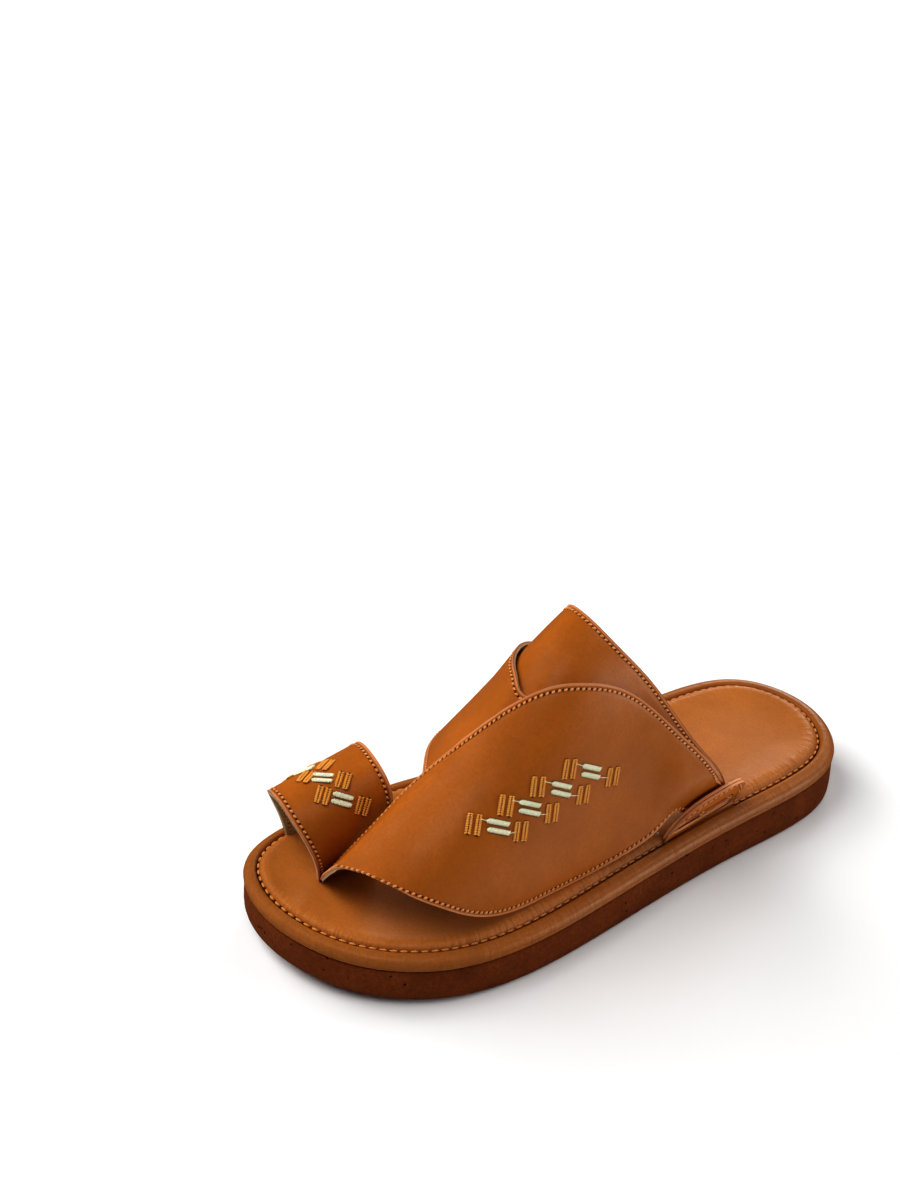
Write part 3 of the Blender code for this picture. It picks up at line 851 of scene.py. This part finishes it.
def sole_shell(name, edge, top, level, finish, slot, narrowing=0.0, seam_inset=0.0):
    """A closed shell of rings that follow the sole outline."""
    rows = [(*edge[0], share) for share in (1.0, 0.5)] + [(*row, 0.0) for row in edge]
    rows += [(edge[-1][0], edge[-1][1] + rise, share) for share, rise in top]
    rings = []
    for inset, height, share in rows:
        flat = outline(inset, narrowing)
        flat = flat + share * (spine_of(flat) - flat)
        rings.append(np.column_stack([flat, level(flat[:, 1], height)]))
    distances = np.array([UNSEWN if share else inset - seam_inset for inset, _, share in rows])
    seam = outline(seam_inset)
    unsewn = UNSEWN * beside_ear(*seam.T) if seam_inset else 0
    along = lengths(seam, 0)
    along = np.minimum(along, along[-1] - along)
    work = bmesh.new()
    add_grid(work, np.array(rings), (("edge", distances[:, None] + unsewn), ("along", along)))
    bmesh.ops.remove_doubles(work, verts=work.verts, dist=MM * TOUCHING)
    face_outwards(work)
    return finish_piece(work, name, [finish])


def thread_on(name, finish, fill):
    """A piece made of many threads. fill(work) adds them."""
    work = bmesh.new()
    fill(work)
    return finish_piece(work, name, [finish], smooth_angle=180.0)


def build_sheet(name, surface, u, v, layer, seams):
    """A strap's leather, its lining and their stitches. Seams: side, trim at both ends, slant."""
    sheet = Sheet(surface, u, v, [side for side, _, _ in seams])
    inner, outer = layer
    middle = inner + LINING_SHARE * (outer - inner)
    inset = bpy.context.scene.sandal.stitch_inset / MM
    pressed = SEAM_DIP * np.exp(-(((sheet.edge - inset) / SEAM_REACH) ** 2))
    top = walled(name, sheet, (outer - pressed, middle), ("upper", "cut", "cut"))
    walled(name + "_lining", sheet, (middle - LINING_GAP, inner + pressed), ("cut", "lining", "lining"))
    rise = STITCH_LIFT - SEAM_DIP

    def fill(work):
        for side, trim, slant in seams:
            for lift in (outer + rise, inner - rise):
                add_row(work, sheet, side, lift, trim, slant)

    thread_on(name + "_stitches", "thread", fill)
    return top


def strap_steps(steps):
    """As eased(), but less crowded at the ends."""
    part = np.linspace(0, 1, steps)
    return part - STRAP_CROWDING * np.sin(2 * math.pi * part) / (2 * math.pi)


def tone(name, description, value):
    settings = {"subtype": "COLOR", "default": value, "min": 0, "max": 1}
    return FloatVectorProperty(name=name, description=description, **settings)


def span(name, description, value):
    return FloatProperty(name=name, description=description, default=value, unit="LENGTH")


class SandalSettings(PropertyGroup):
    """The sizes and colours that a user would change."""

    leather_colour: tone("Upper leather", "Straps and ears", (0.42, 0.13, 0.0165))
    footbed_colour: tone("Footbed leather", "Padded footbed", (0.46, 0.166, 0.038))
    rand_colour: tone("Platform leather", "Wrapped platform", (0.34, 0.12, 0.025))
    foam_colour: tone("Outsole foam", "Foam outsole", (0.17, 0.046, 0.0117))
    lining_colour: tone("Lining", "Inside of the straps", (0.44, 0.385, 0.22))
    cut_colour: tone("Cut edge", "Raw edges of the leather", (0.55, 0.25, 0.12))
    thread_colour: tone("Thread", "Seams of the straps and ears", (0.76, 0.34, 0.13))
    footbed_thread_colour: tone("Footbed thread", "Seam round the footbed", (0.7, 0.29, 0.085))
    light_silk_colour: tone("Light embroidery", "Light bars", (1.0, 0.95, 0.67))
    dark_silk_colour: tone("Dark embroidery", "Dark bars", (0.86, 0.4, 0.085))
    stitch_pitch: span("Stitch pitch", "Distance from one stitch to the next", 0.0024)
    stitch_inset: span("Stitch inset", "Distance of a seam from the edge", 0.0022)
    thread_width: span("Thread width", "Width of the seam thread", 0.0011)
    light_power: FloatProperty(
        name="Light", description="Brightness of the studio lights", default=1.0, min=0, subtype="FACTOR"
    )


class SANDAL_OT_sole(Operator):
    """Cut foam outsole, and the platform wrapped in leather with a rolled rim"""

    bl_idname = "sandal.sole"
    bl_label = "Outsole and platform"

    def execute(self, context):
        foam = sole_shell("sole_foam", OUTSOLE_EDGE, OUTSOLE_TOP, outsole_level, "foam", "sole_foam")
        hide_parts("outsole")
        shape = (PLATFORM_EDGE, PLATFORM_TOP, platform_level)
        rim = sole_shell("wrapped_rim", *shape, "rand", "rand_leather", TOE_NARROWING)
        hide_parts("platform")
        return {"FINISHED"}


class SANDAL_OT_footbed(Operator):
    """Padded leather footbed, sewn round its edge"""

    bl_idname = "sandal.footbed"
    bl_label = "Footbed"

    def execute(self, context):
        inset, height = FOOTBED_SEAM
        shape = (FOOTBED_EDGE, FOOTBED_TOP, footbed_level)
        piece = sole_shell("padded_footbed", *shape, "footbed", "footbed_leather", TOE_NARROWING, inset)
        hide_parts("footbed")
        flat = outline(inset, TOE_NARROWING)
        ring = np.column_stack([flat, footbed_level(flat[:, 1], height)])
        length = lengths(ring, 0)
        count = round(length[-1] / FOOTBED_PITCH)

        def fill(work):
            at = (np.arange(count) + 0.5) * length[-1] / count
            at = at[~beside_ear(*read_rows(at, length, flat).T)]
            points = read_rows(at, length, ring)
            ahead = read_rows(at + SMALL_RISE, length, ring)
            for point, along in zip(points, unit(ahead - points)):
                normal = unit(np.cross(np.cross(along, (0, 0, 1)), along))
                add_thread(work, point, along, normal, *FOOTBED_STITCH)

        thread_on("footbed_stitches", "footbed_thread", fill)
        return {"FINISHED"}


class SANDAL_OT_straps(Operator):
    """Instep strap and medial wing, lined and sewn"""

    bl_idname = "sandal.straps"
    bl_label = "Straps"

    def execute(self, context):
        seams = (("low", (0, 0), 30), ("high", (0, 0), 20))
        strap = strap_surface(INSTEP_STRAP)
        build_sheet("instep_strap", strap, strap_steps(150), eased(30), STRAP_LAYER, seams[:1])
        plain = strap_surface(MEDIAL_WING)
        t_first, t_last = MEDIAL_WING[0][0], MEDIAL_WING[-1][0]

        def standing_off(u, v, lift):
            t = t_first + (t_last - t_first) * u
            off = WING_LIFT * between(t, *WING_SIDES) * (1 - smooth_step(v, *WING_DEPTH))
            return plain(u, v, lift + off)

        build_sheet("medial_wing", standing_off, strap_steps(150), eased(36), WING_LAYER, seams)
        return {"FINISHED"}


class SANDAL_OT_leaf(Operator):
    """Lateral leaf, and the big-toe loop in front of it, lined and sewn"""

    bl_idname = "sandal.leaf"
    bl_label = "Leaf and toe loop"

    def execute(self, context):
        along = np.linspace(0, 1, 170) ** LEAF_CROWDING
        inset = context.scene.sandal.stitch_inset / MM
        seams = (("low", (0, inset), 38), ("high", (0, inset), 30), ("end", (inset, inset), 22))
        leaf = build_sheet("lateral_leaf", leaf_surface, along, eased(64), LEAF_LAYER, seams)
        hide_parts("upper")
        seams = [(side, (0, 0), 20) for side in ("low", "high")]
        build_sheet("toe_loop", loop_surface, np.linspace(0, 1, 90), eased(36), LOOP_LAYER, seams)
        return {"FINISHED"}


def ear_outline(half_length, height, rear_fullness, rake):
    """The flap's closed edge in its own plane: along, up."""
    turn = np.linspace(0, math.pi, EAR_STEPS // 2 + 1)
    power = 2 / np.where(turn < math.pi / 2, rear_fullness, EAR_FRONT_FULLNESS)
    along = np.sign(np.cos(turn)) * np.abs(np.cos(turn)) ** power * half_length
    up = height * np.sin(turn) ** power
    root = np.linspace(-half_length + 0.5, half_length - 0.5, EAR_STEPS // 2 - 1)
    bottom = np.column_stack([root, 0 * root - EAR_ROOT])
    edge = np.concatenate([np.column_stack([along + rake * up, up]), bottom])
    return np.concatenate([edge, edge[:1]])


def slot_outline(half_length, rise, margin):
    """The slot's closed edge, with a point for each of the flap's."""
    straight = half_length - margin - SLOT_HALF_HEIGHT
    turn = np.linspace(0, 2 * math.pi, EAR_STEPS + 1)
    along = np.cos(turn) * (straight + SLOT_HALF_HEIGHT)
    past = along - np.clip(along, -straight, straight)
    up = np.sqrt(np.clip(SLOT_HALF_HEIGHT**2 - past**2, 0, None)) * np.sign(np.sin(turn))
    up[[0, EAR_STEPS // 2, -1]] = 0
    return np.column_stack([along, rise + up])


def build_ear(row):
    """An ear of two leathers back to back, sewn near its rim."""
    name, base_x, base_y, side, drift, lean, half_length, *shape, slot_rise, slot_margin = row
    origin = np.array([base_x, base_y, EAR_BASE_Z])
    along = unit(np.array([drift, 1.0, 0.0]))
    sideways = np.cross(along, (0, 0, 1)) * side
    up = slanted(np.array([0, 0, 1.0]), np.cross((0, 0, 1), sideways), lean)
    normal = np.cross(along, up) * side
    edge = ear_outline(half_length, *shape)
    slot = slot_outline(half_length, slot_rise, slot_margin)

    def surface(u, v, lift):
        """u runs round the flap, and v from its rim to its slot."""
        at, places = u * EAR_STEPS, np.arange(EAR_STEPS + 1)
        outer, inner = read_rows(at, places, edge), read_rows(at, places, slot)
        flat = outer + v[..., None] * (inner - outer)
        return origin + flat[..., :1] * along + flat[..., 1:] * up + lift[..., None] * normal

    sheet = Sheet(surface, np.linspace(0, 1, EAR_STEPS + 1), eased(18), ("low",))
    half_groove, half_wall = EAR_GROOVE / 2, EAR_WALL / 2
    finishes = ("ear", "ear", "ear_edge")
    outer, _ = (
        walled(f"{name}_{layer}", sheet, lifts, finishes, EAR_ROUNDING, ring=True)
        for layer, lifts in (("outer", (half_groove, half_wall)), ("inner", (-half_wall, -half_groove)))
    )
    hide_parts(name)

    def fill(work):
        total = sheet.sides["low"][1].max()
        root = total - 2 * half_length - EAR_TRIM
        for lift in (half_wall + THREAD_LIFT, -half_wall - THREAD_LIFT):
            add_row(work, sheet, "low", lift, (EAR_TRIM, total - root), 12.0, EAR_STITCH)

    thread_on(name + "_stitches", "thread", fill)


class SANDAL_OT_ears(Operator):
    """The two slotted ears that the straps come out through"""

    bl_idname = "sandal.ears"
    bl_label = "Ears"

    def execute(self, context):
        for row in EARS:
            build_ear(row)
        return {"FINISHED"}


def bar_width(distance, length):
    """How wide a bar with rounded ends is, at a distance from its middle."""
    start, reach, least = BAR_END
    past = max(0.0, abs(distance) - length / 2 + start) / reach
    return BAR_WIDTH * math.sqrt(max(least, 1 - past**2))


def add_bar(work, kind, middle, direction, normal, length):
    """A satin bar, a braided bar, or the dark line under a bar that is painted shadow round it and its
    needle holes, of strands laid across it.
    """
    start, pitch, hands, slant, share, spread, margin, *strand, uneven = kind
    side = np.cross(normal, direction)
    for i, part in enumerate(np.arange(-length / 2 + start, length / 2, pitch)):
        width = (share * bar_width(part, length) + margin) * (1 + uneven * math.sin(2.6 * i))
        place = middle + (part + uneven * math.sin(4.1 * i)) * direction
        for hand in hands:
            across = unit(side + hand * slant * direction)
            add_thread(work, place + hand * spread * width * side, across, normal, width, *strand)


def surface_frame(surface, lift, first, second):
    """A surface's point at (first, second), its direction along the first, and its normal."""
    here, on, above = (
        surface(np.array(first + step), np.array(second), np.array(lift + rise))
        for step, rise in ((0.0, 0.0), (SMALL_STEP, 0.0), (0.0, SMALL_RISE))
    )
    normal = unit(above - here)
    along = on - here
    return here, unit(along - (along @ normal) * normal), normal


def pairs_on(surface, lift, rows, bar):
    """(middle, direction, normal, length) of two bars at each (first, second, turn)."""
    length, spacing, lead = bar
    pairs = []
    for *spot, turn in rows:
        middle, along, normal = surface_frame(surface, lift, *spot)
        direction = slanted(along, normal, turn)
        side = np.cross(normal, direction) + lead * direction
        pairs.append([(middle + part * spacing * side, direction, normal, length) for part in (-0.5, 0.5)])
    return pairs


def add_bars(work, kind, pairs):
    for bar in (bar for pair in pairs for bar in pair):
        add_bar(work, kind, *bar)


def spots_along(pair, parts):
    return [middle + part * length * direction for middle, direction, _, length in pair for part in parts]


def add_jump(work, pair, other):
    """A loose thread from the end of one bar to the nearest bar of another pair."""
    both = [(a, b) for a in spots_along(pair, (-0.46, 0.46)) for b in spots_along(other, (-0.3, 0.0, 0.3))]
    start, end = min(both, key=lambda ends: np.linalg.norm(ends[0] - ends[1]))
    normal = pair[0][2]
    length = np.linalg.norm(end - start) + 0.6
    add_thread(work, (start + end) / 2 + 0.3 * normal, unit(end - start), normal, length, 0.32, 0.3)


class SANDAL_OT_embroidery(Operator):
    """The stepped pairs of embroidered bars on the leaf and the toe loop"""

    bl_idname = "sandal.embroidery"
    bl_label = "Embroidery"

    def execute(self, context):
        on_leaf = (on_layer, LEAF_LAYER[1] + THREAD_LIFT)
        on_loop = (loop_surface, LOOP_LAYER[1] + THREAD_LIFT)
        light, above, below = (
            pairs_on(*on_leaf, [row[first : first + 3] for row in LEAF_PAIRS], bar)
            for first, bar in ((0, LIGHT_BAR), (3, DARK_BAR), (6, DARK_BAR))
        )
        all_light = light + pairs_on(*on_loop, LOOP_LIGHT_PAIRS, LOOP_LIGHT_BAR)
        all_dark = above + below + pairs_on(*on_loop, LOOP_DARK_PAIRS, LOOP_DARK_BAR)

        def light_bars(work):
            add_bars(work, SATIN, all_light)
            for pair, *others in zip(light, above, below):
                for other in others:
                    add_jump(work, pair, other)

        thread_on("light_embroidery", "light_silk", light_bars)
        thread_on("dark_embroidery", "dark_silk", lambda work: add_bars(work, BRAID, all_dark))
        # Painted shadow: dark flat lines under all bars, for their shadows and needle holes.
        thread_on("needle_shadow_lines", "needle", lambda work: add_bars(work, NEEDLE_SHADOW, all_light + all_dark))
        return {"FINISHED"}


def softbox(name, azimuth, elevation, power, size, mirrored):
    """A square area light turned to the sandal."""
    data = bpy.data.lights.new(name, "AREA")
    data.shape = "SQUARE"
    data.size = size
    data.energy = power * bpy.context.scene.sandal.light_power
    light = put(name, data)
    light.visible_glossy = mirrored
    turn, rise = math.radians(azimuth), math.radians(elevation)
    towards = Vector((math.cos(rise) * math.cos(turn), math.cos(rise) * math.sin(turn), math.sin(rise)))
    light.location = Vector(SOFTBOX_TARGET) + SOFTBOX_DISTANCE * towards
    light.rotation_euler = towards.to_track_quat("Z", "Y").to_euler()


def sheet_of_paper(name, material, centre, half_size):
    """A level square of the stage."""
    work = bmesh.new()
    bmesh.ops.create_grid(work, x_segments=2, y_segments=2, size=half_size)
    bmesh.ops.translate(work, verts=work.verts, vec=centre)
    paper = put(name, mesh_of(work, name))
    paper.data.materials.append(material)
    return paper


class SANDAL_OT_stage(Operator):
    """Pale floor, soft lights and the camera"""

    bl_idname = "sandal.stage"
    bl_label = "Stage"

    def execute(self, context):
        scene = context.scene
        finish = Finish("floor_paper", 1.0, ior=1.05)
        cloud = finish.noise(3, 2)
        paper = finish.give(finish.mix(cloud, (0.86, 0.86, 0.86, 1), (0.88, 0.88, 0.88, 1)))
        # The leather mirrors the paper only on the lateral side, as a card that nothing else sees.
        floor = sheet_of_paper("floor", paper, *FLOOR)
        floor.visible_glossy = False
        card = sheet_of_paper("sheen_card", paper, *SHEEN_CARD)
        card.visible_camera = card.visible_diffuse = card.visible_shadow = False

        world = bpy.data.worlds.new("studio")
        world.use_nodes = True
        background = world.node_tree.nodes["Background"]
        background.inputs["Color"].default_value = (1, 1, 1, 1)
        background.inputs["Strength"].default_value = ROOM_LIGHT
        scene.world = world
        scene.view_settings.view_transform = "Standard"
        scene.view_settings.look = "High Contrast"
        for row in SOFTBOXES:
            softbox(*row)

        data = bpy.data.cameras.new("camera")
        data.lens = CAMERA_LENS
        camera = put("camera", data)
        azimuth, elevation = math.radians(CAMERA_AZIMUTH), math.radians(CAMERA_ELEVATION)
        turn = Matrix.Rotation(azimuth, 3, "Z") @ Matrix.Rotation(math.pi / 2 - elevation, 3, "X")
        turn = turn @ Matrix.Rotation(math.radians(CAMERA_ROLL), 3, "Z")
        camera.matrix_world = Matrix.LocRotScale(Vector(CAMERA_PLACE), turn, None)
        scene.camera = camera
        return {"FINISHED"}


OPERATORS = (
    SANDAL_OT_stage, SANDAL_OT_sole, SANDAL_OT_footbed, SANDAL_OT_straps,
    SANDAL_OT_leaf, SANDAL_OT_ears, SANDAL_OT_embroidery,
)


class SANDAL_PT_looks(Panel):
    """Lists the pieces in the sidebar"""

    bl_label = "Arabic sandal"
    bl_idname = "SANDAL_PT_looks"
    bl_space_type = "VIEW_3D"
    bl_region_type = "UI"
    bl_category = "Sandal"

    def draw(self, context):
        for operator in OPERATORS:
            self.layout.operator(operator.bl_idname)
        for name in SandalSettings.__annotations__:
            self.layout.prop(context.scene.sandal, name)


CLASSES = (SandalSettings, *OPERATORS, SANDAL_PT_looks)


def register():
    for shown in CLASSES:
        bpy.utils.register_class(shown)
    bpy.types.Scene.sandal = PointerProperty(type=SandalSettings)


def unregister():
    del bpy.types.Scene.sandal
    for shown in reversed(CLASSES):
        bpy.utils.unregister_class(shown)


def main():
    register()
    make_bead()
    make_finishes(bpy.context.scene.sandal)
    for operator in OPERATORS:
        getattr(bpy.ops.sandal, operator.bl_idname.removeprefix("sandal."))()


if __name__ == "__main__":
    main()
